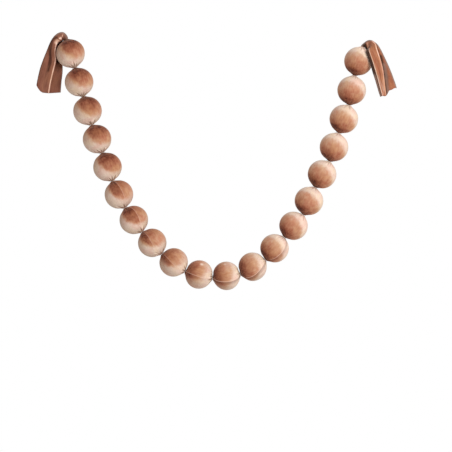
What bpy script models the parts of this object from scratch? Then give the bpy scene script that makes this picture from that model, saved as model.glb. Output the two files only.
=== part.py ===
"""A velvet ball garland hung by its two ends in a swag.

One long tube of crushed-pile velvet is sewn shut down its length, filled with twenty light balls and
gathered between them. Its two empty ends are folded back and forth, bend over a nail and hang down.
Metres, +Z up, +X along the garland, +Y away from the viewer. The origin is on the underside of the
left bend, where it rests on its nail.
"""

import math
from collections import namedtuple

import bmesh
import bpy
from mathutils import Vector

MM = 0.001
GAP = 0.3 * MM

# The balls, each a stretch of the tube drawn over its filling
BALL_COUNT = 20
BALL_RADIUS = 38.0 * MM
LONGEST_HALF = 37.6 * MM
SHORT_OF_GATHER = 0.9 * MM
BALL_COLUMNS = 28
BALL_RINGS = 12
RING_CROWDING = 1.5

# The gathers at the two ends of every ball
GATHER_RADIUS = 6.0 * MM
PULL_REACH = 17.0 * MM
PLEAT_DEPTH = 1.2 * MM
PLEAT_REACH = 0.62

# The swag: its slope grows by the same step from each ball to the next, as a hanging chain's does,
# and the gathers stretch a little where the chain runs steeply and carries more weight
FIRST_GATHER = Vector((8.5 * MM, 0.0, -3.8 * MM))
SLOPE_STEP = 0.419
LOWEST_BALL = 10.62
LEVEL_PITCH = 73.0 * MM
STEEP_STRETCH = 0.088
ASKEW_DEGREES = (3, 1, -1, 1, -3, -2, 2, 0, -3, 1, -1, 0, 5, -5, 5, -5, 2, -2, 5, -1)

# The tails. One row is one cross-section of the folded tube, in millimetres: where it lies from the
# gather (x, z) and how far back its front layer is (y), then the four turning points of the fold
# across it: the front layer's free edge, the fold to the middle layer, the fold to the back layer and
# the back layer's outer edge. Spacing is from layer to layer, and set_back is how much deeper the
# outer edge lies than the second fold.
Section = namedtuple(
    "Section", "x z y edge fold refold outer spacing thickness ridge set_back"
)
LEFT_TAIL = (
    Section(0.0, 0.0, -3.5, -4.5, 3.5, -3.5, 4.5, 3.5, 3.0, 0.0, 0),
    Section(-2.1, 6.4, -3.8, -5.0, 4.0, -4.0, 5.0, 3.8, 3.2, 0.0, 0),
    Section(-10.7, 11.8, -4.8, -6.5, 6.2, -5.5, 6.2, 4.8, 4.2, 0.4, 0),
    Section(-21.8, 5.7, -5.5, -8.0, 7.5, -7.0, 16.0, 5.0, 4.0, 0.8, 14),
    Section(-29.8, -7.3, -6.0, -10.0, 7.5, -8.0, 21.0, 5.2, 3.6, 1.4, 27),
    Section(-35.3, -29.8, -6.0, -14.5, 5.0, -9.0, 18.0, 5.5, 3.4, 2.4, 27),
    Section(-38.5, -56.3, -6.0, -22.0, 10.5, -12.0, 26.5, 5.5, 3.0, 2.8, 24),
    Section(-41.4, -82.8, -5.0, -27.5, 6.0, -18.0, 31.0, 5.0, 3.0, 2.0, 12),
    Section(-44.6, -114.6, -4.0, -31.0, 2.5, -22.0, 31.2, 4.6, 2.8, 0.9, 6),
    Section(-47.3, -143.0, -4.0, -33.0, 0.5, -24.0, 32.0, 4.4, 2.8, 0.2, 4),
)
RIGHT_TAIL = (
    Section(0.0, 0.0, -3.5, -4.0, 3.2, -3.2, 4.0, 3.3, 2.8, 0.0, 0),
    Section(5.6, 5.4, -6.0, -4.2, 3.3, -4.0, 3.8, 3.6, 3.0, 0.0, 0),
    Section(17.2, 9.9, -15.5, -6.8, 5.0, -8.0, 5.5, 4.6, 3.6, 0.3, 0),
    Section(26.8, 3.4, -30.0, -16.0, 5.5, -19.5, 9.2, 4.8, 3.6, 0.5, 2),
    Section(33.6, -10.6, -39.8, -19.5, 2.2, -25.0, 12.8, 4.8, 3.4, 0.6, 6),
    Section(40.8, -36.3, -41.0, -19.5, 3.2, -23.5, 18.6, 4.8, 3.0, 0.6, 13),
    Section(48.2, -62.8, -38.0, -18.0, 3.0, -23.0, 23.4, 5.0, 3.0, 0.6, 16),
    Section(55.4, -89.3, -33.0, -17.0, 0.0, -21.5, 26.4, 5.2, 2.8, 0.8, 15),
    Section(61.9, -114.5, -30.0, -16.0, -3.5, -20.5, 28.0, 5.2, 2.8, 0.6, 12),
    Section(65.2, -130.3, -29.0, -15.0, -4.5, -18.5, 28.5, 5.2, 2.8, 0.4, 10),
)
TAIL_STEPS = 2
HEM_SECTIONS = 6

VELVET = (0.42, 0.20, 0.13)
LEFT_TAIL_VELVET = (0.25, 0.10, 0.065)
RIGHT_TAIL_VELVET = (0.42, 0.17, 0.09)


def clear_scene():
    for leftover in list(bpy.data.objects):
        bpy.data.objects.remove(leftover, do_unlink=True)


def velvet(name, colour):
    """A Principled material for short cotton pile."""
    material = bpy.data.materials.new(name)
    material.use_nodes = True
    shader = material.node_tree.nodes["Principled BSDF"]
    shader.inputs["Base Color"].default_value = (*colour, 1.0)
    shader.inputs["Roughness"].default_value = 0.9
    shader.inputs["Metallic"].default_value = 0.0
    shader.inputs["Sheen Weight"].default_value = 0.6
    return material


def finish(bm, name, material, collection):
    """The finished mesh as an object, shaded smooth, in the garland's collection."""
    mesh = bpy.data.meshes.new(name)
    bm.to_mesh(mesh)
    bm.free()
    mesh.shade_smooth()
    mesh.materials.append(material)
    piece = bpy.data.objects.new(name, mesh)
    collection.objects.link(piece)
    return piece


def ball_leans():
    """Each ball's angle from the level, in radians, from the left end of the swag to the right one."""
    leans = []
    for number in range(1, BALL_COUNT + 1):
        hanging = math.atan(SLOPE_STEP * (number - LOWEST_BALL))
        leans.append(hanging + math.radians(ASKEW_DEGREES[number - 1]))
    return leans


def axis_of(lean):
    return Vector((math.cos(lean), 0.0, math.sin(lean)))


def gathers_along(leans):
    """The points where the tube is gathered, one more than there are balls."""
    points = [FIRST_GATHER]
    for lean in leans:
        pitch = LEVEL_PITCH * (1 + STEEP_STRETCH * abs(math.sin(lean)))
        points.append(points[-1] + pitch * axis_of(lean))
    return points


def shape_ball(vertex, half_pitch, mitres):
    """Moves a vertex of the unit sphere to the ball's surface, its axis along Z.

    The ball is a little short along the chain, is drawn out to a gather at each end, and is pleated
    there. Each gather ends flat, on the plane halfway between the ball's axis and its neighbour's.
    """
    half_length = min(LONGEST_HALF, half_pitch - SHORT_OF_GATHER)
    side = 1 if vertex.co.z > 0 else -1
    rise = math.acos(min(1.0, abs(vertex.co.z))) / (math.pi / 2)
    around = math.atan2(vertex.co.y, vertex.co.x)
    out = BALL_RADIUS * math.sin(math.pi / 2 * rise**RING_CROWDING)
    at_pole = rise < 0.5 / BALL_RINGS
    if not at_pole:
        out = max(out, GATHER_RADIUS)
    drawn = max(out, GATHER_RADIUS)
    nearness = max(0.0, 1 - (drawn - GATHER_RADIUS) / (PULL_REACH - GATHER_RADIUS)) ** 2
    bare = half_length * math.sqrt(1 - (drawn / BALL_RADIUS) ** 2)
    bare_end = half_length * math.sqrt(1 - (GATHER_RADIUS / BALL_RADIUS) ** 2)
    along = bare + (half_pitch - GAP / 2 - bare_end) * nearness
    column = round(around / (2 * math.pi / BALL_COLUMNS))
    fold = -1 if column % 2 else 1
    if not at_pole and rise < PLEAT_REACH:
        out += fold * PLEAT_DEPTH * (1 - rise / PLEAT_REACH)
    x = out * math.cos(around)
    along += x * math.tan(mitres[side]) * nearness
    vertex.co = (x, out * math.sin(around), side * along)


def build_ball(number, start, end, mitres, material, collection):
    bm = bmesh.new()
    bmesh.ops.create_uvsphere(
        bm, u_segments=BALL_COLUMNS, v_segments=BALL_RINGS, radius=1.0
    )
    half_pitch = (end - start).length / 2
    for vertex in bm.verts:
        shape_ball(vertex, half_pitch, mitres)
    ball = finish(bm, f"ball_{number:02d}", material, collection)
    ball.location = (start + end) / 2
    run = end - start
    ball.rotation_euler.y = math.atan2(run.x, run.z)
    return ball


def between(rows, place):
    """The section at a place along the rows, on a smooth curve through every column of them."""
    index = min(int(place), len(rows) - 2)
    t = place - index
    before = rows[max(index - 1, 0)]
    after = rows[min(index + 2, len(rows) - 1)]
    columns = zip(before, rows[index], rows[index + 1], after)
    return Section(
        *(
            b + t * ((c - a) + t * (2 * a - 5 * b + 4 * c - d + t * (3 * (b - c) + d - a))) / 2
            for a, b, c, d in columns
        )
    )


def back_and_forth(section):
    """The folded cloth's centre line across the tail, as (across, back) points in millimetres.

    It runs along the front layer, turns back along the middle one and turns again along the back one.
    """
    bend = section.spacing / 2
    line = []
    front_end = section.fold - bend
    for step in range(7):
        share = step / 6
        across = section.edge + share * (front_end - section.edge)
        line.append((across, -section.ridge * abs(math.sin(2 * math.pi * share))))
    for turn in (-45, 0, 45):
        angle = math.radians(turn)
        line.append((front_end + bend * math.cos(angle), bend + bend * math.sin(angle)))
    back_start = section.refold + bend
    for step in range(3):
        share = step / 2
        across = front_end + share * (back_start - front_end)
        line.append((across, section.spacing))
    for turn in (-45, 0, 45):
        angle = math.radians(turn)
        line.append((back_start - bend * math.cos(angle), 3 * bend + bend * math.sin(angle)))
    for step in range(5):
        share = step / 4
        across = back_start + share * (section.outer - back_start)
        line.append((across, 2 * section.spacing + share * section.set_back))
    return [Vector(point) for point in line]


def outline_of(section):
    """The closed outline of the folded cloth: its centre line set out by half a thickness each way."""
    line = back_and_forth(section)
    one_face, other_face = [], []
    for index, point in enumerate(line):
        run = line[min(index + 1, len(line) - 1)] - line[max(index - 1, 0)]
        aside = Vector((-run.y, run.x)).normalized() * section.thickness / 2
        one_face.append(point - aside)
        other_face.append(point + aside)
    return one_face + other_face[::-1]


def build_tail(name, rows, gather, outward, hem, material, collection):
    """Lofts the folded tube through its sections, from its gather at a ball to its cut end.

    outward is the ball's axis, away from the ball. hem gives how far the cut end rises, in
    millimetres, at a distance across the tail.
    """
    places = [step / TAIL_STEPS for step in range((len(rows) - 1) * TAIL_STEPS + 1)]
    sections = [between(rows, place) for place in places]
    bm = bmesh.new()
    rings = []
    for index, section in enumerate(sections):
        ahead = sections[min(index + 1, len(sections) - 1)]
        behind = sections[max(index - 1, 0)]
        if index == 0:
            down = outward
        else:
            down = Vector((ahead.x - behind.x, 0.0, ahead.z - behind.z)).normalized()
        across = Vector((-down.z, 0.0, down.x))
        centre = gather + Vector((section.x, section.y, section.z)) * MM
        centre += outward * GAP / 2
        near_hem = max(0.0, 1 - (len(sections) - 1 - index) / HEM_SECTIONS)
        ring = []
        for u, v in outline_of(section):
            lift = hem(u) * near_hem
            point = centre + (across * u + Vector((0.0, v, 0.0)) - down * lift) * MM
            ring.append(bm.verts.new(point))
        rings.append(ring)
    for ring, following in zip(rings, rings[1:]):
        for index in range(len(ring)):
            beside = (index + 1) % len(ring)
            bm.faces.new((ring[index], following[index], following[beside], ring[beside]))
    bm.faces.new(rings[0])
    bm.faces.new(rings[-1][::-1])
    return finish(bm, name, material, collection)


def slanted_hem(across):
    """The left tail's end, rounded off at its outer corner and climbing a little to the other one."""
    return 0.045 * max(0.0, -13.0 - across) ** 2 + 0.16 * max(0.0, across)


def ragged_hem(across):
    """The right tail's end, which climbs to the outer edge in two uneven steps."""
    climb = 14.5 / (1 + math.exp(-(across - 4.0) / 3.0))
    return climb + 1.2 * math.sin(across / 3.0)


def main():
    clear_scene()
    collection = bpy.data.collections.new("velvet_ball_garland")
    bpy.context.scene.collection.children.link(collection)

    leans = ball_leans()
    gathers = gathers_along(leans)
    ball_velvet = velvet("ball velvet", VELVET)
    for index, lean in enumerate(leans):
        turn_before = lean - leans[index - 1] if index else 0.0
        turn_after = leans[index + 1] - lean if index + 1 < BALL_COUNT else 0.0
        mitres = {-1: turn_before / 2, 1: turn_after / 2}
        build_ball(
            index + 1, gathers[index], gathers[index + 1], mitres, ball_velvet, collection
        )

    build_tail(
        "tail_left",
        LEFT_TAIL,
        gathers[0],
        -axis_of(leans[0]),
        slanted_hem,
        velvet("left tail velvet", LEFT_TAIL_VELVET),
        collection,
    )
    build_tail(
        "tail_right",
        RIGHT_TAIL,
        gathers[-1],
        axis_of(leans[-1]),
        ragged_hem,
        velvet("right tail velvet", RIGHT_TAIL_VELVET),
        collection,
    )


main()
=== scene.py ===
"""The looks of a velvet ball garland that hangs by its two ends in a swag.

One long tube of crushed-pile velvet is sewn shut down its length, filled with twenty light balls and
gathered between them. Its two empty ends are flattened, folded back and forth, bend over a nail each
and hang down. Metres, +Z up, +X along the garland, -Y towards the viewer.
"""

import math
from collections import namedtuple

import bmesh
import bpy
from mathutils import Matrix, Vector, noise


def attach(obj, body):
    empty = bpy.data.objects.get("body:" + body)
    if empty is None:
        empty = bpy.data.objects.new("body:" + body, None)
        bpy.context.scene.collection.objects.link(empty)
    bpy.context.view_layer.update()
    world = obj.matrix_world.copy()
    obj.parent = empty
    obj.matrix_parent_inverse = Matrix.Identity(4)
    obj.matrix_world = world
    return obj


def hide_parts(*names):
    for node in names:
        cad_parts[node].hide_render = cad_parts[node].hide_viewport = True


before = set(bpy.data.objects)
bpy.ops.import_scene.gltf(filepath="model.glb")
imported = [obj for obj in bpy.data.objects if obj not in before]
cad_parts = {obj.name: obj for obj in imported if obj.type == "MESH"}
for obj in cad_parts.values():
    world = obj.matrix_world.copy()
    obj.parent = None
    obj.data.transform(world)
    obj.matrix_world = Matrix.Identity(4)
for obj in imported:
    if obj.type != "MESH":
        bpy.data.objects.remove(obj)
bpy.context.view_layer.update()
bpy.ops.object.select_all(action="DESELECT")


# ---------------------------------------------------------------- the balls
# Twenty light balls inside one tube of velvet. The cloth is drawn tight over each ball and is pulled
# together between two balls with thread, so that it stands in small uneven pleats round each gather.
# The tube's lengthwise seam twists slowly round the chain and comes to the front on balls 6 to 13.

# A ball is a little flatter than round along the chain, and within the reach of the pull its cloth
# leaves it for the gather. The mesh's rings crowd towards the gathers, where the pleats are.
MM = 0.001
GAP = 0.3 * MM
BALL_COUNT = 20
BALL_RADIUS = 38.0 * MM
LONGEST_HALF = 37.6 * MM
SHORT_OF_GATHER = 0.9 * MM
GATHER_RADIUS = 6.0 * MM
PULL_REACH = 17.0 * MM
BALL_COLUMNS = 144
BALL_RINGS = 64
RING_CROWDING = 1.5

# The chain hangs as a catenary does: its slope grows evenly from ball to ball away from the lowest
# place, which is between two of them. Each ball also sits a few degrees askew, and on the steep sides
# the weight below draws the gathers further apart.
FIRST_GATHER = Vector((8.5 * MM, 0.0, -3.8 * MM))
SLOPE_STEP = 0.419
LOWEST_BALL = 10.62
LEVEL_PITCH = 73.0 * MM
STEEP_STRETCH = 0.088
ASKEW_DEGREES = (3, 1, -1, 1, -3, -2, 2, 0, -3, 1, -1, 0, 5, -5, 5, -5, 2, -2, 5, -1)

# The pleats: how many meet at a gather, how wide and deep one is, how far up the ball they run, and
# how plainly their creases are painted in shade on the falling half's lower ends and everywhere else.
# Their ridges are painted paler as highlights, mostly at each ball's second gather. The filling's lumps
# are shallow.
PLEATS = 13
PLEAT_WIDTH = 1.7 * MM
PLEAT_DEPTH = 1.3 * MM
SHORTEST_PLEAT = 18.0 * MM
LONGEST_PLEAT = 32.0 * MM
PLAIN_CREASE_SHADE = 0.9
FAINT_CREASE_SHADE = 0.4
RIDGE_HIGHLIGHT = 0.6
FIRST_END_SHARE = 0.15
LUMP_HEIGHT = 0.35 * MM
LUMP_WIDTH = 22.0 * MM

# The seam: where it runs on each ball, in degrees from the front towards the inside of the swag, at
# the ball's first and second gather. On the other balls it is behind. On the lowest balls the cloth
# just below it is painted in shade, where the seam's lip shades it and the other edge's pile lies the
# darker way.
SEAM_DEGREES = {
    6: (20, 17),
    7: (37, 12),
    8: (13, -14),
    9: (4, -14),
    10: (-3, -12),
    11: (-20, -28),
    12: (-46, -19),
    13: (-31, -37),
}
SEAM_BEHIND = 150
SEAM_WIDTH = 1.9 * MM
SEAM_DEPTH = 0.3 * MM
SEAM_LIP = 0.2 * MM
SHADE_BELOW_SEAM = {10: 0.35, 11: 1.0, 12: 1.0, 13: 0.7}

# The cloth below the seam is a little dusty on the lowest balls, and two of them carry a small rubbed
# spot: where it is (outwards, back and along the chain, in millimetres from the ball's middle) and
# how pale.
DUSTY_BALLS = (9, 10, 11, 12)
SEAM_DUST = 0.3
RUBBED = {10: (Vector((-28.0, -25.0, 1.0)), 0.9), 11: (Vector((-31.0, -22.0, 1.0)), 0.45)}
RUBBED_SIZE = 3.6

# The pile lies along the tube, and its light and shade are painted: each ball is painted dark where
# the pile faces away and pale where it faces the light, and paler towards its profile as painted
# sheen. These are how far the pale side is turned from the chain to the outside of the swag, ball by
# ball, how far it is turned to the back, and how softly the front and the back meet in profile.
PALE_TURN_DEGREES = (10, 15, 18, 18, 16, 18, 20, 14, 2, 7, 2, 7, 11, 10, 14, 8, 9, 7, 9, 3)
PALE_BACK_DEGREES = 25
PROFILE_SOFTNESS = 0.01

# The painted dark side is drawn together into a cap with a ragged edge, which shows on some balls
# more than on others. Lays run from -1, darkest, to 1, palest. One cap gives the way to its pale rim,
# where its edge lies along that, the painted lay on it and how much painted shade it takes round the
# first gather, the painted lay on the rim and how much painted shade it takes in profile, and how
# grey the profile is painted as sheen. The balls up to the last falling one have the falling cap, and
# the others the rising one.
Cap = namedtuple("Cap", "rimwards edge lay darker_end rim darker_profile dust")
FALLING_CAP = Cap(Vector((0.60, 0.64, 0.48)), -0.43, -0.7, 0.2, 0.36, 0.9, 0.7)
RISING_CAP = Cap(Vector((0.28, 0.66, 0.70)), -0.23, -0.4, 0.65, 0.55, 0.4, 0.2)
LAST_FALLING = 10
CAP_TENTHS = (4, 4, 4.5, 5, 6.5, 7.5, 8, 8, 6, 3, 3, 5, 6, 6, 6, 6, 6, 6, 6, 6)
CAP_SOFTNESS = 0.18
CAP_RAGGEDNESS = 0.08
CAP_RAG_WIDTH = 7.0 * MM
# How much paler the cap is painted along the chain, towards its profile as painted sheen, and past the
# seam
CAP_PALER_ALONG = 0.2
CAP_PALER_PROFILE = 0.25
CAP_PALER_PAST_SEAM = 0.3
FIRST_END_WAY = Vector((-0.3, 0.0, -0.9))


def chain_leans():
    """Each ball's angle from the level, in radians."""
    leans = []
    for number in range(1, BALL_COUNT + 1):
        hanging = math.atan(SLOPE_STEP * (number - LOWEST_BALL))
        leans.append(hanging + math.radians(ASKEW_DEGREES[number - 1]))
    return leans


def axis_of(lean):
    return Vector((math.cos(lean), 0.0, math.sin(lean)))


def chain_gathers(leans):
    """The points where the tube is gathered, one more than there are balls."""
    points = [FIRST_GATHER]
    for lean in leans:
        pitch = LEVEL_PITCH * (1 + STEEP_STRETCH * abs(math.sin(lean)))
        points.append(points[-1] + pitch * axis_of(lean))
    return points


def smooth(low, high, value):
    """0 below low, 1 above high, and an even S between them."""
    share = min(1.0, max(0.0, (value - low) / (high - low)))
    return share * share * (3 - 2 * share)


def pleat_valley(around, out, end):
    """How near this place is to the bottom of a pleat, from 0 on a ridge to 1 in the valley.

    Two slow waves, which differ from gather to gather, space the pleats unevenly.
    """
    uneven = 0.8 * math.sin(2 * around + 1.7 * end) + 0.5 * math.sin(3 * around + 4.1 * end)
    apart = 2 * out / PLEATS * abs(math.sin(PLEATS / 2 * around + uneven + end))
    return math.exp(-((apart / min(PLEAT_WIDTH, 0.15 * out + 0.1 * MM)) ** 2))


def keep_values(mesh, name, values):
    """Stores one number or one vector for each vertex as the mesh's own attribute."""
    if isinstance(values[0], float):
        mesh.attributes.new(name, "FLOAT", "POINT").data.foreach_set("value", values)
    else:
        flat = [part for value in values for part in value]
        mesh.attributes.new(name, "FLOAT_VECTOR", "POINT").data.foreach_set("vector", flat)


def pile_lay_and_light(number, unit, ragged, past_seam):
    """The painted light and shade of the pile's lay at a place on a ball, and its greyish painted sheen.

    The place is in ball radii from the ball's middle: outwards, back and along the chain.
    """
    turn = math.radians(PALE_TURN_DEGREES[number - 1])
    back = math.radians(PALE_BACK_DEGREES)
    lay = unit.z * math.cos(turn) * math.cos(back) + unit.x * math.sin(turn)
    lay -= math.sin(back) * math.sqrt(unit.y**2 + PROFILE_SOFTNESS)

    cap = RISING_CAP if number > LAST_FALLING else FALLING_CAP
    edge = cap.rimwards.dot((unit.x, -abs(unit.y), unit.z)) + ragged - cap.edge
    on_rim = smooth(-CAP_SOFTNESS, CAP_SOFTNESS, edge)
    profile = 1 - min(1.0, abs(unit.y))
    first_end = smooth(0.35, 1.0, FIRST_END_WAY.dot(unit))
    on_cap = cap.lay + CAP_PALER_ALONG * unit.z + CAP_PALER_PROFILE * profile**2
    on_cap -= cap.darker_end * first_end
    if past_seam:
        on_cap += CAP_PALER_PAST_SEAM
    rim = cap.rim - cap.darker_profile * profile**1.5
    clearness = CAP_TENTHS[number - 1] / 10
    lay += clearness * (on_cap + (rim - on_cap) * on_rim - lay)
    return lay, cap.dust * clearness * profile * on_rim


def drape_ball(ball, number, half_pitch, mitres):
    """Shapes a unit sphere, its axis along Z, into a ball of the chain, with the cloth's attributes."""
    mesh = ball.data
    half_length = min(LONGEST_HALF, half_pitch - SHORT_OF_GATHER)
    bare_end = half_length * math.sqrt(1 - (GATHER_RADIUS / BALL_RADIUS) ** 2)
    seam_in_front = number in SEAM_DEGREES
    seam_start, seam_end = SEAM_DEGREES.get(number, (SEAM_BEHIND, SEAM_BEHIND))
    seam_shade = SHADE_BELOW_SEAM.get(number, 0.0)
    falling = number <= LAST_FALLING
    # Each ball shows its own stretch of every noise
    own_patch = Vector((0.0, 0.0, 0.31 * number))
    lay_and_light_values, crease_shades, dust_and_sheen_values, seams, cloths = [], [], [], [], []
    for vertex in mesh.vertices:
        side = 1 if vertex.co.z > 0 else -1
        rise = math.acos(min(1.0, abs(vertex.co.z))) / (math.pi / 2)
        beside_seam = math.atan2(vertex.co.y, vertex.co.x)
        polar = math.pi / 2 * rise**RING_CROWDING
        out = BALL_RADIUS * math.sin(polar)
        drawn = max(out, GATHER_RADIUS)
        nearness = max(0.0, 1 - (drawn - GATHER_RADIUS) / (PULL_REACH - GATHER_RADIUS)) ** 2
        bare = half_length * math.sqrt(1 - (drawn / BALL_RADIUS) ** 2)
        along = bare + (half_pitch - GAP / 2 - bare_end) * nearness
        height = max(-1.0, min(1.0, side * along / half_length))
        seam_from_front = seam_start + (seam_end - seam_start) * (0.5 + 0.5 * height)
        around = beside_seam - math.radians(90 + seam_from_front)

        # How deep the cloth lies here: pleats that run out up the ball and stay clear of the gather's
        # middle, the seam's groove between two lips, and the filling's lumps
        end = number + 0.5 * side
        reach_wave = math.sin(5 * around + 2.3 * end) * math.sin(2 * around - end)
        reach = SHORTEST_PLEAT + (LONGEST_PLEAT - SHORTEST_PLEAT) * (0.5 + 0.5 * reach_wave)
        fading = 1 - smooth(0.7 * reach, reach, out)
        opening = smooth(0.4 * GATHER_RADIUS, 1.3 * GATHER_RADIUS, out)
        folded = fading * opening
        valley = pleat_valley(around, out, end) * folded
        seam_angle = SEAM_WIDTH / max(out, 1.0 * MM)
        groove = math.exp(-((beside_seam / (0.6 * seam_angle)) ** 2))
        lip = math.exp(-(((abs(beside_seam) - seam_angle) / (0.7 * seam_angle)) ** 2))
        spot = Vector((out * math.cos(around), out * math.sin(around), side * along))
        lump = noise.noise(spot / LUMP_WIDTH + 9 * own_patch)
        sink = PLEAT_DEPTH * valley
        sink += (SEAM_DEPTH * groove - SEAM_LIP * lip - LUMP_HEIGHT * lump) * opening
        out -= sink * math.sin(polar)
        along -= sink * math.cos(polar)
        x = out * math.cos(around)
        y = out * math.sin(around)
        vertex.co = (x, y, side * (along + x * math.tan(mitres[side]) * nearness))

        ragged = CAP_RAGGEDNESS * noise.noise(spot / CAP_RAG_WIDTH + 9 * own_patch)
        past_seam = seam_in_front and falling and beside_seam < 0
        lay, dust = pile_lay_and_light(number, vertex.co / BALL_RADIUS, ragged, past_seam)
        # The pleats' ridges are painted paler as highlights, and their creases darker as shade
        lay += RIDGE_HIGHLIGHT * (folded - valley) * (1.0 if side > 0 else FIRST_END_SHARE)
        if number in RUBBED:
            rub, paleness = RUBBED[number]
            lay += paleness * math.exp(-(((vertex.co / MM - rub).length / RUBBED_SIZE) ** 2))
        lay_and_light_values.append(lay)
        crease_shades.append(valley * (PLAIN_CREASE_SHADE if side > 0 and falling else FAINT_CREASE_SHADE))

        # How far across the seam this is in millimetres, and how clearly its line and the strip of
        # painted shade below it show here
        across = out * math.sin(beside_seam) / MM
        facing = out * math.cos(beside_seam) / MM
        sewn = 1.0 if seam_in_front and facing > 1 else 0.0
        seams.append((across, sewn * (0.4 + 0.6 * seam_shade), sewn * seam_shade))
        # Dust beside the seam on the lowest balls, and elsewhere the profile's greyish painted sheen,
        # kept off the pleats
        if number in DUSTY_BALLS and facing > 0:
            dust_and_sheen_values.append(SEAM_DUST * smooth(5.0, 20.0, across))
        else:
            dust_and_sheen_values.append(dust * (1 - folded))
        cloths.append(vertex.co + own_patch)
    keep_values(mesh, "lay", lay_and_light_values)
    keep_values(mesh, "crease_shade", crease_shades)
    keep_values(mesh, "dust", dust_and_sheen_values)
    keep_values(mesh, "seam", seams)
    keep_values(mesh, "cloth", cloths)


def linear(colour):
    """An sRGB hex colour as linear RGBA."""
    parts = [int(colour[place : place + 2], 16) / 255 for place in (1, 3, 5)]
    light = [part / 12.92 if part <= 0.04045 else ((part + 0.055) / 1.055) ** 2.4 for part in parts]
    return (*light, 1.0)


def add_node(tree, kind, inputs=(), **settings):
    """Adds a node, sets its properties, and fills or links its inputs."""
    new = tree.nodes.new(kind)
    for name, value in settings.items():
        setattr(new, name, value)
    for socket, value in dict(inputs).items():
        if isinstance(value, bpy.types.NodeSocket):
            tree.links.new(value, new.inputs[socket])
        else:
            new.inputs[socket].default_value = value
    return new


def set_stops(ramp, stops):
    """Gives a colour ramp its stops, (place, sRGB hex) from low to high."""
    elements = ramp.color_ramp.elements
    while len(elements) < len(stops):
        elements.new(0.5)
    for element, (place, colour) in zip(elements, stops):
        element.position = place
        element.color = linear(colour)


def crushed_velvet(name, pile_stops, dust_and_sheen_colour):
    """Crushed cotton velvet: short dull pile, painted dark seen against its lay and pale along it.

    It has no glossy highlight, its colour drifts in soft blotches where the pile was crushed, and its
    edges carry a thin dusty sheen. The cloth's own attributes hold the pile's lay with its painted
    light and shade, the painted shade in its creases, and where it is dusty or painted greyer as sheen.
    """
    material = bpy.data.materials.new(name)
    material.use_nodes = True
    tree = material.node_tree
    shader = tree.nodes["Principled BSDF"]
    lay = add_node(tree, "ShaderNodeAttribute", attribute_name="lay")
    crease_shade = add_node(tree, "ShaderNodeAttribute", attribute_name="crease_shade")
    dust = add_node(tree, "ShaderNodeAttribute", attribute_name="dust")
    cloth = add_node(tree, "ShaderNodeAttribute", attribute_name="cloth")
    # Crushed patches are about 12 mm across, and streaks of pile about 4 mm by 16 mm.
    patches = add_node(
        tree, "ShaderNodeTexNoise", {"Vector": cloth.outputs["Vector"], "Scale": 80.0, "Detail": 3.0}
    )
    stretched = add_node(
        tree, "ShaderNodeMapping", {"Vector": cloth.outputs["Vector"], "Scale": (240.0, 240.0, 60.0)}
    )
    streaks = add_node(
        tree, "ShaderNodeTexNoise", {"Vector": stretched.outputs["Vector"], "Scale": 1.0, "Detail": 2.0}
    )
    # Both noises lie round 0.5, so each moves the lay up as much as down.
    crushed = add_node(
        tree,
        "ShaderNodeMapRange",
        {
            "Value": patches.outputs["Fac"],
            "From Min": 0.3,
            "From Max": 0.7,
            "To Min": -0.1,
            "To Max": 0.1,
        },
        clamp=False,
    )
    streaked = add_node(
        tree,
        "ShaderNodeMapRange",
        {
            "Value": streaks.outputs["Fac"],
            "From Min": 0.3,
            "From Max": 0.7,
            "To Min": -0.08,
            "To Max": 0.08,
        },
        clamp=False,
    )
    uneven = add_node(
        tree, "ShaderNodeMath", {0: crushed.outputs["Result"], 1: streaked.outputs["Result"]}
    )
    lay_and_light_uneven = add_node(tree, "ShaderNodeMath", {0: lay.outputs["Fac"], 1: uneven.outputs["Value"]})
    place = add_node(
        tree, "ShaderNodeMapRange", {"Value": lay_and_light_uneven.outputs["Value"], "From Min": -1.0, "From Max": 1.0}
    )
    pile = add_node(tree, "ShaderNodeValToRGB", {"Fac": place.outputs["Result"]})
    set_stops(pile, pile_stops)
    # The dye drifts between rust and tan in blotches about 25 mm across.
    blotches = add_node(
        tree, "ShaderNodeTexNoise", {"Vector": cloth.outputs["Vector"], "Scale": 40.0, "Detail": 2.0}
    )
    dye = add_node(tree, "ShaderNodeValToRGB", {"Fac": blotches.outputs["Fac"]})
    set_stops(dye, ((0.38, "#FFF2F0"), (0.5, "#FFFCFA"), (0.62, "#FFFAEE")))
    dyed = add_node(
        tree,
        "ShaderNodeMix",
        {0: 1.0, 6: pile.outputs["Color"], 7: dye.outputs["Color"]},
        data_type="RGBA",
        blend_type="MULTIPLY",
    )
    # Dust and greyish painted sheen on rims and edges
    dust_and_sheen_mix = add_node(
        tree,
        "ShaderNodeMix",
        {0: dust.outputs["Fac"], 6: dyed.outputs[2], 7: linear(dust_and_sheen_colour)},
        data_type="RGBA",
    )
    # Painted shade in the pleats' creases and the wrinkles' troughs
    crease_shaded = add_node(
        tree,
        "ShaderNodeMix",
        {0: crease_shade.outputs["Fac"], 6: dust_and_sheen_mix.outputs[2], 7: linear("#86583A")},
        data_type="RGBA",
    )
    # The pile's own tufts are under 0.5 mm. They are drawn about 1.1 mm across so that they show.
    tufts = add_node(
        tree, "ShaderNodeTexNoise", {"Vector": cloth.outputs["Vector"], "Scale": 900.0, "Detail": 2.0}
    )
    bump = add_node(
        tree, "ShaderNodeBump", {"Height": tufts.outputs["Fac"], "Strength": 0.3, "Distance": 0.0006}
    )
    tree.links.new(crease_shaded.outputs[2], shader.inputs["Base Color"])
    tree.links.new(bump.outputs["Normal"], shader.inputs["Normal"])
    shader.inputs["Roughness"].default_value = 0.95
    shader.inputs["IOR"].default_value = 1.35
    shader.inputs["Sheen Weight"].default_value = 0.75
    shader.inputs["Sheen Roughness"].default_value = 0.38
    shader.inputs["Sheen Tint"].default_value = linear("#A8A8A0")
    return material


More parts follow.
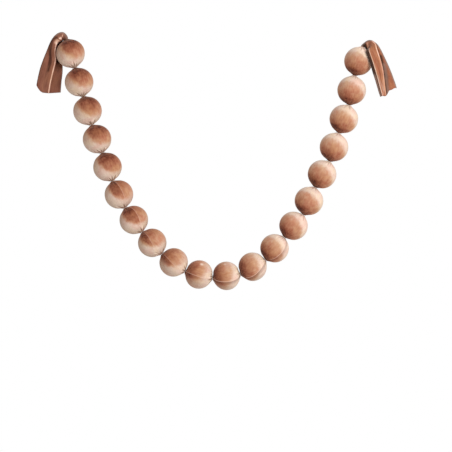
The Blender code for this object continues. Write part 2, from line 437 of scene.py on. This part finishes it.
# The pile's colours along its lay, from the darkest painted shade to the palest painted sheen
ball_velvet = crushed_velvet(
    "crushed cotton velvet, balls",
    (
        (0.0, "#562414"),
        (0.05, "#7A412B"),
        (0.18, "#A4694E"),
        (0.32, "#C08E70"),
        (0.46, "#D0AC96"),
        (0.6, "#E0C6B5"),
        (0.85, "#F8E2D0"),
    ),
    "#A89A8C",
)
# The seam: a thin pale line of sewing about 1.5 mm wide, and below it a strip up to 13 mm wide of
# painted shade, where the seam's lip shades the cloth and the other edge's pile lies the darker way.
tree = ball_velvet.node_tree
shader = tree.nodes["Principled BSDF"]
seam = add_node(tree, "ShaderNodeAttribute", attribute_name="seam")
parts = add_node(tree, "ShaderNodeSeparateXYZ", {"Vector": seam.outputs["Vector"]})
under = add_node(tree, "ShaderNodeValToRGB")
under_place = add_node(
    tree,
    "ShaderNodeMapRange",
    {"Value": parts.outputs["X"], "From Min": -2.0, "From Max": 18.0},
)
tree.links.new(under_place.outputs["Result"], under.inputs["Fac"])
set_stops(under, ((0.08, "#000000"), (0.14, "#BCBCBC"), (0.3, "#B0B0B0"), (0.75, "#000000")))
under_share = add_node(
    tree, "ShaderNodeMath", {0: under.outputs["Color"], 1: parts.outputs["Z"]}, operation="MULTIPLY"
)
plain_colour = shader.inputs["Base Color"].links[0].from_socket
shaded = add_node(
    tree,
    "ShaderNodeMix",
    {0: under_share.outputs["Value"], 6: plain_colour, 7: linear("#5A2C1C")},
    data_type="RGBA",
)
line = add_node(tree, "ShaderNodeValToRGB")
line_place = add_node(
    tree,
    "ShaderNodeMapRange",
    {"Value": parts.outputs["X"], "From Min": -3.0, "From Max": 3.0},
)
tree.links.new(line_place.outputs["Result"], line.inputs["Fac"])
set_stops(line, ((0.22, "#000000"), (0.4, "#FFFFFF"), (0.48, "#FFFFFF"), (0.62, "#000000")))
line_share = add_node(
    tree, "ShaderNodeMath", {0: line.outputs["Color"], 1: parts.outputs["Y"]}, operation="MULTIPLY"
)
sewn = add_node(
    tree,
    "ShaderNodeMix",
    {0: line_share.outputs["Value"], 6: shaded.outputs[2], 7: linear("#E4B8A4")},
    data_type="RGBA",
)
tree.links.new(sewn.outputs[2], shader.inputs["Base Color"])

bpy.ops.mesh.primitive_uv_sphere_add(segments=BALL_COLUMNS, ring_count=BALL_RINGS, radius=1.0)
pattern_ball = bpy.context.object
bpy.ops.object.shade_smooth()
leans = chain_leans()
gathers = chain_gathers(leans)
for index, lean in enumerate(leans):
    number = index + 1
    start, end = gathers[index], gathers[index + 1]
    turn_before = lean - leans[index - 1] if index else 0.0
    turn_after = leans[index + 1] - lean if number < BALL_COUNT else 0.0
    ball = pattern_ball.copy()
    ball.data = pattern_ball.data.copy()
    ball.name = f"velvet_ball_{number:02d}"
    bpy.context.scene.collection.objects.link(ball)
    run = end - start
    drape_ball(ball, number, run.length / 2, {-1: turn_before / 2, 1: turn_after / 2})
    place = Matrix.Translation((start + end) / 2) @ Matrix.Rotation(math.atan2(run.x, run.z), 4, "Y")
    ball.data.transform(place)
    ball.data.materials.append(ball_velvet)
    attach(ball, "root")
    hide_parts(f"ball_{number:02d}")
bpy.data.objects.remove(pattern_ball)


# ---------------------------------------------------------------- the left tail
# The empty end of the tube, pressed flat to two thicknesses and folded back and forth into three
# layers. It rises from the first gather, bends over the nail and hangs, opening out to its cut edge.

# One row is one cross-section of the folded tube, in millimetres: where it lies from the gather
# (x, z) and how far back its front layer is (y), then the four turning points of the fold across it:
# the front layer's free edge, the fold to the middle layer, the fold to the back layer and the back
# layer's outer edge. Spacing is from layer to layer, thickness is one layer's, ridge is how far the
# front layer bulges between its edges, and set_back is how much deeper the outer edge lies than the
# second fold.
Section = namedtuple("Section", "x z y edge fold refold outer spacing thickness ridge set_back")
LEFT_TAIL = (
    Section(0.0, 0.0, -3.5, -4.5, 3.5, -3.5, 4.5, 3.5, 3.0, 0.0, 0),
    Section(-2.1, 6.4, -3.8, -5.0, 9.0, -4.0, 5.0, 3.8, 3.2, 0.0, 0),
    Section(-10.7, 11.8, -4.8, -6.5, 15.5, -5.5, 6.2, 4.8, 4.2, 0.4, 0),
    Section(-21.8, 5.7, -5.5, -8.0, 15.0, -7.0, 16.0, 5.0, 4.0, 0.8, 14),
    Section(-29.8, -7.3, -6.0, -10.0, 7.5, -8.0, 21.0, 5.2, 3.6, 1.4, 27),
    Section(-35.3, -29.8, -6.0, -14.5, 7.0, -9.0, 18.0, 5.5, 3.4, 2.4, 27),
    Section(-38.5, -56.3, -6.0, -22.0, 11.0, -12.0, 26.5, 5.5, 3.0, 2.8, 24),
    Section(-41.4, -82.8, -5.0, -27.5, 8.0, -18.0, 31.0, 5.0, 3.0, 2.0, 12),
    Section(-44.6, -114.6, -4.0, -31.0, 3.8, -22.0, 31.2, 4.6, 2.8, 0.9, 6),
    Section(-47.3, -143.0, -4.0, -33.0, 1.6, -24.0, 32.0, 4.4, 2.8, 0.2, 4),
)
TAIL_COLUMNS = 168
TAIL_ROWS = 108

# Across a section, a fold takes this share of a layer to each side of its middle. An edge is rounded
# over EDGE_ROUNDING of a layer.
FOLD_SHARE = 0.1
EDGE_ROUNDING = 0.12

# Along a tail, in sections: how far to each side its run is taken from, and how soon it leaves the
# gather's direction. For the cloth's grain, sections count as 18.5 mm apart and a layer as 40 mm wide.
RUN_STEP = 0.4
LEAVES_GATHER = 0.6
SECTION_STEP = 18.5
LAYER_WIDTH = 40

# At the cut end the tube is open: the last rows of its grid go back inside, in a slot as wide as two
# thicknesses of cloth leave of the tube
SLOT_ROWS = 4
SLOT_STEP = 0.1
CLOTH_THICKNESS = 1.1
END_THICKNESS = 3.2

# Wrinkles along the tails, in millimetres: how high they are, how far across and along the tail a
# coarse one and a fine one reach, and how dark the troughs between them are painted, as shade
WRINKLE_HEIGHT = 0.45
COARSE_WRINKLE = (5.0, 22.0)
FINE_WRINKLE = (2.6, 12.0)
TROUGH_SHADE = 0.35

# A mark painted along a tail: a painted highlight along a fold or edge, a painted shadow in a recess
# or valley, or dust and greyish painted sheen on a rim. Its columns are the layer it is on, the edge
# or fold of the section that it follows, how far beside that it runs and its half width in millimetres,
# the rows between which it shows, how far it drifts aside from row to row, how much paler (+) or darker
# (-) it is painted there, and how much dust and greyish sheen it has. A mark fades in and out over
# MARK_FADE of a row.
Mark = namedtuple("Mark", "layer along off wide first last drift pale dust")
MARK_FADE = 0.3

# Where the slack front layer hangs down inside the bend, in front of the nail: at which share of the
# way across the folds and how far to each side of it, at which row and over how many rows to each
# side, and how far it drops and comes forward, in millimetres.
Flap = namedtuple("Flap", "share spread row reach drop forward")
LEFT_FLAP = Flap(1.0, 0.6, 0.88, 0.88, 6.6, 4.0)
# Painted highlights along the first fold and over the bend, painted shadows in the hollow under the bend,
# in the valley beside the fold and beside the first ball, a darker line along the front layer's free
# edge, and dust and greyish painted sheen on the rims
LEFT_MARKS = (
    Mark("front", "fold", -0.6, 1.5, 4.2, 9.5, 0.0, 0.95, 0.0),
    Mark("front", "fold", -4.0, 6.0, 3.5, 4.1, 2.0, 0.8, 0.1),
    Mark("front", "fold", -8.0, 4.5, 2.5, 3.0, 0.0, 0.9, 0.0),
    Mark("front", "fold", -8.0, 7.5, 1.8, 1.85, 0.0, 0.95, 0.0),
    Mark("front", "fold", 0.0, 4.5, 0.4, 1.6, 0.0, -1.3, 0.0),
    Mark("front", "fold", 0.5, 2.0, 1.6, 3.2, 0.0, -0.9, 0.0),
    Mark("front", "fold", -14.4, 3.6, 3.2, 7.0, 0.4, -0.55, 0.0),
    Mark("front", "edge", 0.0, 1.6, 2.6, 9.0, 0.0, -0.4, 0.0),
    Mark("front", "edge", 1.0, 3.5, 0.0, 3.0, 0.0, 0.15, 0.6),
    Mark("back", "fold", 3.0, 5.0, 3.0, 6.0, 0.0, -0.7, 0.0),
    Mark("back", "outer", -0.5, 1.6, 6.0, 9.5, 0.0, 0.4, 0.6),
)


def between(rows, place):
    """The section at a place along the rows, on a smooth curve through every column of them."""
    index = max(0, min(int(place), len(rows) - 2))
    t = place - index
    before = rows[max(index - 1, 0)]
    after = rows[min(index + 2, len(rows) - 1)]
    columns = zip(before, rows[index], rows[index + 1], after)
    return Section(
        *(
            b + t * ((c - a) + t * (2 * a - 5 * b + 4 * c - d + t * (3 * (b - c) + d - a))) / 2
            for a, b, c, d in columns
        )
    )


def folded_line(section, share):
    """A point (across, back) on the folded cloth's middle line, in millimetres, and its sideways.

    share runs from 0 at the front layer's free edge to 3 at the back layer's outer edge, and passes 1
    and 2 in the middle of the two folds.
    """
    bend = section.spacing / 2
    front_end = section.fold - bend
    back_start = section.refold + bend
    if share < 1 - FOLD_SHARE:
        part = share / (1 - FOLD_SHARE)
        point = (
            section.edge + part * (front_end - section.edge),
            -section.ridge * abs(math.sin(2 * math.pi * part)),
        )
    elif share < 1 + FOLD_SHARE:
        angle = math.radians(90 * (share - 1) / FOLD_SHARE)
        point = (front_end + bend * math.cos(angle), bend + bend * math.sin(angle))
    elif share < 2 - FOLD_SHARE:
        part = (share - 1 - FOLD_SHARE) / (1 - 2 * FOLD_SHARE)
        point = (front_end + part * (back_start - front_end), section.spacing)
    elif share < 2 + FOLD_SHARE:
        angle = math.radians(90 * (share - 2) / FOLD_SHARE)
        point = (back_start - bend * math.cos(angle), 3 * bend + bend * math.sin(angle))
    else:
        part = (share - 2 - FOLD_SHARE) / (1 - FOLD_SHARE)
        point = (
            back_start + part * (section.outer - back_start),
            2 * section.spacing + part * section.set_back,
        )
    return Vector(point)


def skin_point(section, round_share, flatness):
    """A point (across, back) on the flattened tube's skin, at a share of the way round it."""
    share = 6 * round_share if round_share < 0.5 else 6 * (1 - round_share)
    face = -1 if round_share < 0.5 else 1
    step = 0.02
    here = folded_line(section, min(max(share, 0.0), 3.0))
    run = folded_line(section, min(share + step, 3.0)) - folded_line(section, max(share - step, 0.0))
    aside = Vector((-run.y, run.x)).normalized()
    edge_nearness = min(1.0, min(share, 3 - share) / EDGE_ROUNDING)
    round_off = math.sqrt(1 - (1 - edge_nearness) ** 2)
    return here + aside * face * flatness * section.thickness / 2 * round_off, share


def wrinkle_at(across, along, share):
    """How the cloth stands out at a place, about -1 to 1: coarse wrinkles, and fine ones half as high."""
    layer = 7 * share
    wide, long = COARSE_WRINKLE
    coarse = noise.noise(Vector((across / wide, along / long, layer)))
    wide, long = FINE_WRINKLE
    return coarse + 0.5 * noise.noise(Vector((across / wide, along / long, 3 + layer)))


def mark_strength(mark, section, place, across):
    """How clearly a mark shows at a place on its layer, from 0 to 1."""
    middle = getattr(section, mark.along) + mark.off + mark.drift * (place - mark.first)
    begun = smooth(mark.first - MARK_FADE, mark.first, place)
    lasting = smooth(-mark.last - MARK_FADE, -mark.last, -place)
    return begun * lasting * math.exp(-(((across - middle) / mark.wide) ** 2))


def fold_tail(tail, rows, gather, outward, hem, flap, marks, plain_lays):
    """Wraps a flat grid, one tube's round wide, into the folded tail, with the cloth's attributes."""
    mesh = tail.data
    lay_and_light_values, crease_shades, dust_and_sheen_values, cloths = [], [], [], []
    last_section = len(rows) - 1
    last_row = TAIL_ROWS - SLOT_ROWS - 1
    for vertex in mesh.vertices:
        # Where the vertex belongs: along the sections, and how open the tube is there
        round_share = vertex.co.x + 0.5
        row = round((vertex.co.y + 0.5) * TAIL_ROWS)
        place = last_section * max(0, min(row - 1, last_row - 1)) / (last_row - 1)
        flatness = 0.0 if row in (0, TAIL_ROWS) else 1.0
        if row > last_row:
            place -= SLOT_STEP * (row - last_row - 1)
            flatness *= 1 - 2 * CLOTH_THICKNESS / END_THICKNESS
        section = between(rows, place)
        ahead = between(rows, min(place + RUN_STEP, last_section))
        behind = between(rows, max(place - RUN_STEP, 0))
        run = Vector((ahead.x - behind.x, 0.0, ahead.z - behind.z)).normalized()
        down = outward.lerp(run, smooth(0.0, LEAVES_GATHER, place)).normalized()
        across = Vector((-down.z, 0.0, down.x))

        # The folded skin there, with its wrinkles, the cut end's slant and the flap's slack
        (u, v), share = skin_point(section, round_share, flatness)
        along = SECTION_STEP * place
        wrinkle = wrinkle_at(u, along, share)
        clear_of_edges = smooth(0, 0.2, share) * smooth(0, 0.2, 3 - share)
        v += wrinkle * WRINKLE_HEIGHT * smooth(0.6, 2.0, place) * clear_of_edges
        lift = hem(u) * smooth(last_section - 3.5, last_section, place)
        slack = smooth(-flap.reach, 0.0, -abs(place - flap.row))
        slack *= smooth(-flap.spread, 0.0, -abs(share - flap.share))
        centre = gather + Vector((section.x, section.y, section.z)) * MM + outward * GAP / 2
        hanging = Vector((0.0, v - slack * flap.forward, -slack * flap.drop))
        vertex.co = centre + (across * u + hanging - down * lift) * MM

        # What is painted on the cloth: each layer's plain lay with its marks' painted highlights, shadows
        # and greyish sheen, and painted shade in the wrinkles' troughs
        layer = "front" if share < 1 + FOLD_SHARE else "back"
        lay, dust = plain_lays[layer], 0.0
        for mark in marks:
            if mark.layer == layer:
                strength = mark_strength(mark, section, place, u)
                lay += mark.pale * strength
                dust += mark.dust * strength
        lay_and_light_values.append(lay)
        dust_and_sheen_values.append(min(dust, 1.0))
        crease_shades.append(max(0.0, -wrinkle * TROUGH_SHADE))
        cloths.append(Vector((LAYER_WIDTH * share, v, along)) * MM)
    keep_values(mesh, "lay", lay_and_light_values)
    keep_values(mesh, "crease_shade", crease_shades)
    keep_values(mesh, "dust", dust_and_sheen_values)
    keep_values(mesh, "cloth", cloths)


def close_tube(tail):
    """Merges the grid's two long edges and the rows brought together at its ends, faces outwards.

    The folds lie so close that recalculated normals can come out pointing into the cloth, which the
    enclosed volume's sign shows.
    """
    bpy.ops.object.select_all(action="DESELECT")
    tail.select_set(True)
    bpy.context.view_layer.objects.active = tail
    bpy.ops.object.mode_set(mode="EDIT")
    bpy.ops.mesh.select_all(action="SELECT")
    bpy.ops.mesh.remove_doubles(threshold=0.02 * MM)
    bpy.ops.mesh.normals_make_consistent(inside=False)
    if bmesh.from_edit_mesh(tail.data).calc_volume(signed=True) < 0:
        bpy.ops.mesh.flip_normals()
    bpy.ops.object.mode_set(mode="OBJECT")
    bpy.ops.object.shade_smooth()
    bpy.ops.object.select_all(action="DESELECT")


def slanted_hem(across):
    """How far the left tail's end climbs, in millimetres: off its outer corner, and gently inwards."""
    return 0.045 * max(0.0, -13.0 - across) ** 2 + 0.16 * max(0.0, across)


# The colours along the lay, from the darkest painted shadow to the palest painted highlight
left_velvet = crushed_velvet(
    "crushed cotton velvet, left tail",
    (
        (0.0, "#280A04"),
        (0.25, "#553022"),
        (0.45, "#865644"),
        (0.6, "#A06C58"),
        (0.8, "#D6A894"),
        (0.95, "#FFE4D2"),
    ),
    "#8E786C",
)
bpy.ops.mesh.primitive_grid_add(x_subdivisions=TAIL_COLUMNS, y_subdivisions=TAIL_ROWS, size=1.0)
left_tail = bpy.context.object
left_tail.name = "velvet_tail_left"
LEFT_LAYS = {"front": -0.08, "back": -0.1}
fold_tail(
    left_tail,
    LEFT_TAIL,
    gather=gathers[0],
    outward=-axis_of(leans[0]),
    hem=slanted_hem,
    flap=LEFT_FLAP,
    marks=LEFT_MARKS,
    plain_lays=LEFT_LAYS,
)

# The slack rests over the first ball's shoulder without touching it
first_middle = (gathers[0] + gathers[1]) / 2
clear_radius = BALL_RADIUS + LUMP_HEIGHT + GAP / 4
for vertex in left_tail.data.vertices:
    away = vertex.co - first_middle
    if away.length < clear_radius:
        vertex.co = first_middle + away.normalized() * clear_radius
close_tube(left_tail)
left_tail.data.materials.append(left_velvet)
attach(left_tail, "root")
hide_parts("tail_left")


# ---------------------------------------------------------------- the right tail
# The tube's other empty end, folded the same way. It leans forward over its nail in a tighter bundle,
# and its end was cut in two uneven steps.

RIGHT_TAIL = (
    Section(0.0, 0.0, -3.5, -4.0, 3.2, -3.2, 4.0, 3.3, 2.8, 0.0, 0),
    Section(5.6, 5.4, -6.0, -9.0, 3.3, -4.0, 3.8, 3.6, 3.0, 0.0, 0),
    Section(17.2, 9.9, -15.5, -12.0, 5.0, -8.0, 5.5, 4.6, 3.6, 0.3, 0),
    Section(26.8, 3.4, -30.0, -16.0, 5.5, -19.5, 9.2, 4.8, 3.6, 0.5, 2),
    Section(33.6, -10.6, -39.8, -19.5, 2.2, -25.0, 12.8, 4.8, 3.4, 0.6, 6),
    Section(40.8, -36.3, -41.0, -18.0, 3.2, -23.5, 18.6, 4.8, 3.0, 0.6, 13),
    Section(48.2, -62.8, -38.0, -17.0, 3.0, -23.0, 23.4, 5.0, 3.0, 0.6, 16),
    Section(55.4, -89.3, -33.0, -16.5, 0.0, -21.5, 26.4, 5.2, 2.8, 0.8, 15),
    Section(61.9, -114.5, -30.0, -16.0, -3.5, -20.5, 28.0, 5.2, 2.8, 0.6, 12),
    Section(65.2, -130.3, -29.0, -15.0, -4.5, -18.5, 28.5, 5.2, 2.8, 0.4, 10),
)
RIGHT_FLAP = Flap(0.0, 0.8, 1.7, 1.7, 9.5, 0.0)
# Painted highlights along the front layer's edge and fold and across its lower end, painted shadows in
# the hollow under the bend and beside the first fold, and dust and greyish painted sheen on the top of
# the bend, the rims and the back layer
RIGHT_MARKS = (
    Mark("front", "edge", 0.8, 1.3, 2.2, 9.5, 0.0, 0.95, 0.0),
    Mark("front", "fold", -0.7, 1.1, 2.2, 9.5, 0.0, 0.6, 0.0),
    Mark("front", "fold", -0.7, 1.2, 2.6, 4.6, 0.0, 0.35, 0.0),
    Mark("front", "fold", 0.0, 2.4, 0.0, 2.2, 0.0, -0.3, 0.8),
    Mark("front", "edge", 2.0, 9.0, 0.3, 1.15, 0.0, -1.2, 0.0),
    Mark("front", "edge", 7.0, 8.0, 1.55, 1.6, 0.0, 0.55, 0.0),
    Mark("front", "edge", 3.0, 2.0, 6.6, 8.0, 3.0, 0.35, 0.35),
    Mark("front", "fold", -4.0, 1.6, 7.2, 8.6, -1.5, 0.35, 0.2),
    Mark("back", "refold", 0.0, 5.0, 2.5, 6.2, 0.0, -0.8, 0.1),
    Mark("back", "refold", 0.0, 5.0, 6.4, 9.5, 0.0, -0.15, 0.75),
    Mark("back", "fold", 1.2, 1.8, 3.2, 4.5, 0.0, -0.8, 0.0),
    Mark("back", "fold", 3.0, 4.2, 4.8, 5.3, 0.0, -1.2, 0.0),
    Mark("back", "fold", 1.8, 2.6, 5.6, 9.5, 0.0, -0.95, 0.0),
    Mark("back", "fold", 8.5, 4.5, 5.6, 9.5, 0.0, -0.2, 0.5),
    Mark("back", "outer", -1.2, 2.2, 2.0, 9.5, 0.0, 0.0, 0.8),
)


def ragged_hem(across):
    """How far the right tail's end climbs, in millimetres: to the outer edge, in two uneven steps."""
    climb = 14.5 / (1 + math.exp(-(across - 4.0) / 3.0))
    return climb + 1.2 * math.sin(across / 3.0)


# The colours along the lay, from the darkest painted shadow to the palest painted highlight
right_velvet = crushed_velvet(
    "crushed cotton velvet, right tail",
    (
        (0.0, "#200A04"),
        (0.22, "#4A2C1C"),
        (0.42, "#9A5C42"),
        (0.5, "#AD7355"),
        (0.65, "#C89078"),
        (0.8, "#DDB29A"),
        (0.95, "#FFE8D4"),
    ),
    "#8C7A70",
)
bpy.ops.mesh.primitive_grid_add(x_subdivisions=TAIL_COLUMNS, y_subdivisions=TAIL_ROWS, size=1.0)
right_tail = bpy.context.object
right_tail.name = "velvet_tail_right"
RIGHT_LAYS = {"front": -0.06, "back": -0.14}
fold_tail(
    right_tail,
    RIGHT_TAIL,
    gather=gathers[-1],
    outward=axis_of(leans[-1]),
    hem=ragged_hem,
    flap=RIGHT_FLAP,
    marks=RIGHT_MARKS,
    plain_lays=RIGHT_LAYS,
)
close_tube(right_tail)
right_tail.data.materials.append(right_velvet)
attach(right_tail, "root")
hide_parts("tail_right")


# ---------------------------------------------------------------- the stage
# A pale studio floor well under the hanging garland, soft light from the front and above, and a long
# lens square on to the swag.

FLOOR_HEIGHT = -1.3
bpy.ops.mesh.primitive_plane_add(size=3.0, location=(0.43, 0.0, FLOOR_HEIGHT))
floor = bpy.context.object
floor.name = "studio_floor"
floor_paint = bpy.data.materials.new("matt white studio paint")
floor_paint.use_nodes = True
paint_shader = floor_paint.node_tree.nodes["Principled BSDF"]
paint_shader.inputs["Base Color"].default_value = linear("#F4F3F1")
paint_shader.inputs["Roughness"].default_value = 0.9
floor.data.materials.append(floor_paint)

# A large square softbox in front and to the right, which faces the middle of the swag
MIDDLE = Vector((0.4321, 0.0, -0.4987))
softbox = bpy.data.lights.new("front softbox", "AREA")
softbox.size = 2.0
softbox.energy = 76
lamp = bpy.data.objects.new("front softbox", softbox)
lamp.location = Vector((2.4, -2.6, 0.5))
lamp.rotation_euler = (MIDDLE - lamp.location).to_track_quat("-Z", "Y").to_euler()
lamp.visible_camera = False
bpy.context.scene.collection.objects.link(lamp)

# The room's even white light fills in, and the backdrop is plain white
world = bpy.data.worlds.new("white studio")
bpy.context.scene.world = world
world.use_nodes = True
tree = world.node_tree
tree.nodes.clear()
ray = add_node(tree, "ShaderNodeLightPath")
fill = add_node(tree, "ShaderNodeBackground", {"Color": linear("#FFFFFF"), "Strength": 0.6})
backdrop = add_node(tree, "ShaderNodeBackground", {"Color": linear("#FFFFFF"), "Strength": 1.0})
both = add_node(
    tree,
    "ShaderNodeMixShader",
    {0: ray.outputs["Is Camera Ray"], 1: fill.outputs[0], 2: backdrop.outputs[0]},
)
add_node(tree, "ShaderNodeOutputWorld", {"Surface": both.outputs[0]})
bpy.context.scene.view_settings.view_transform = "Standard"

CAMERA_DISTANCE = 6.0
SEEN_WIDTH = 1.1978
SENSOR_WIDTH_MM = 36.0
lens = bpy.data.cameras.new("long lens")
lens.sensor_width = SENSOR_WIDTH_MM
lens.lens = SENSOR_WIDTH_MM * CAMERA_DISTANCE / SEEN_WIDTH
camera = bpy.data.objects.new("camera", lens)
camera.location = MIDDLE + Vector((0.0, -CAMERA_DISTANCE, 0.0))
camera.rotation_euler = (math.pi / 2, 0.0, 0.0)
bpy.context.scene.collection.objects.link(camera)
bpy.context.scene.camera = camera
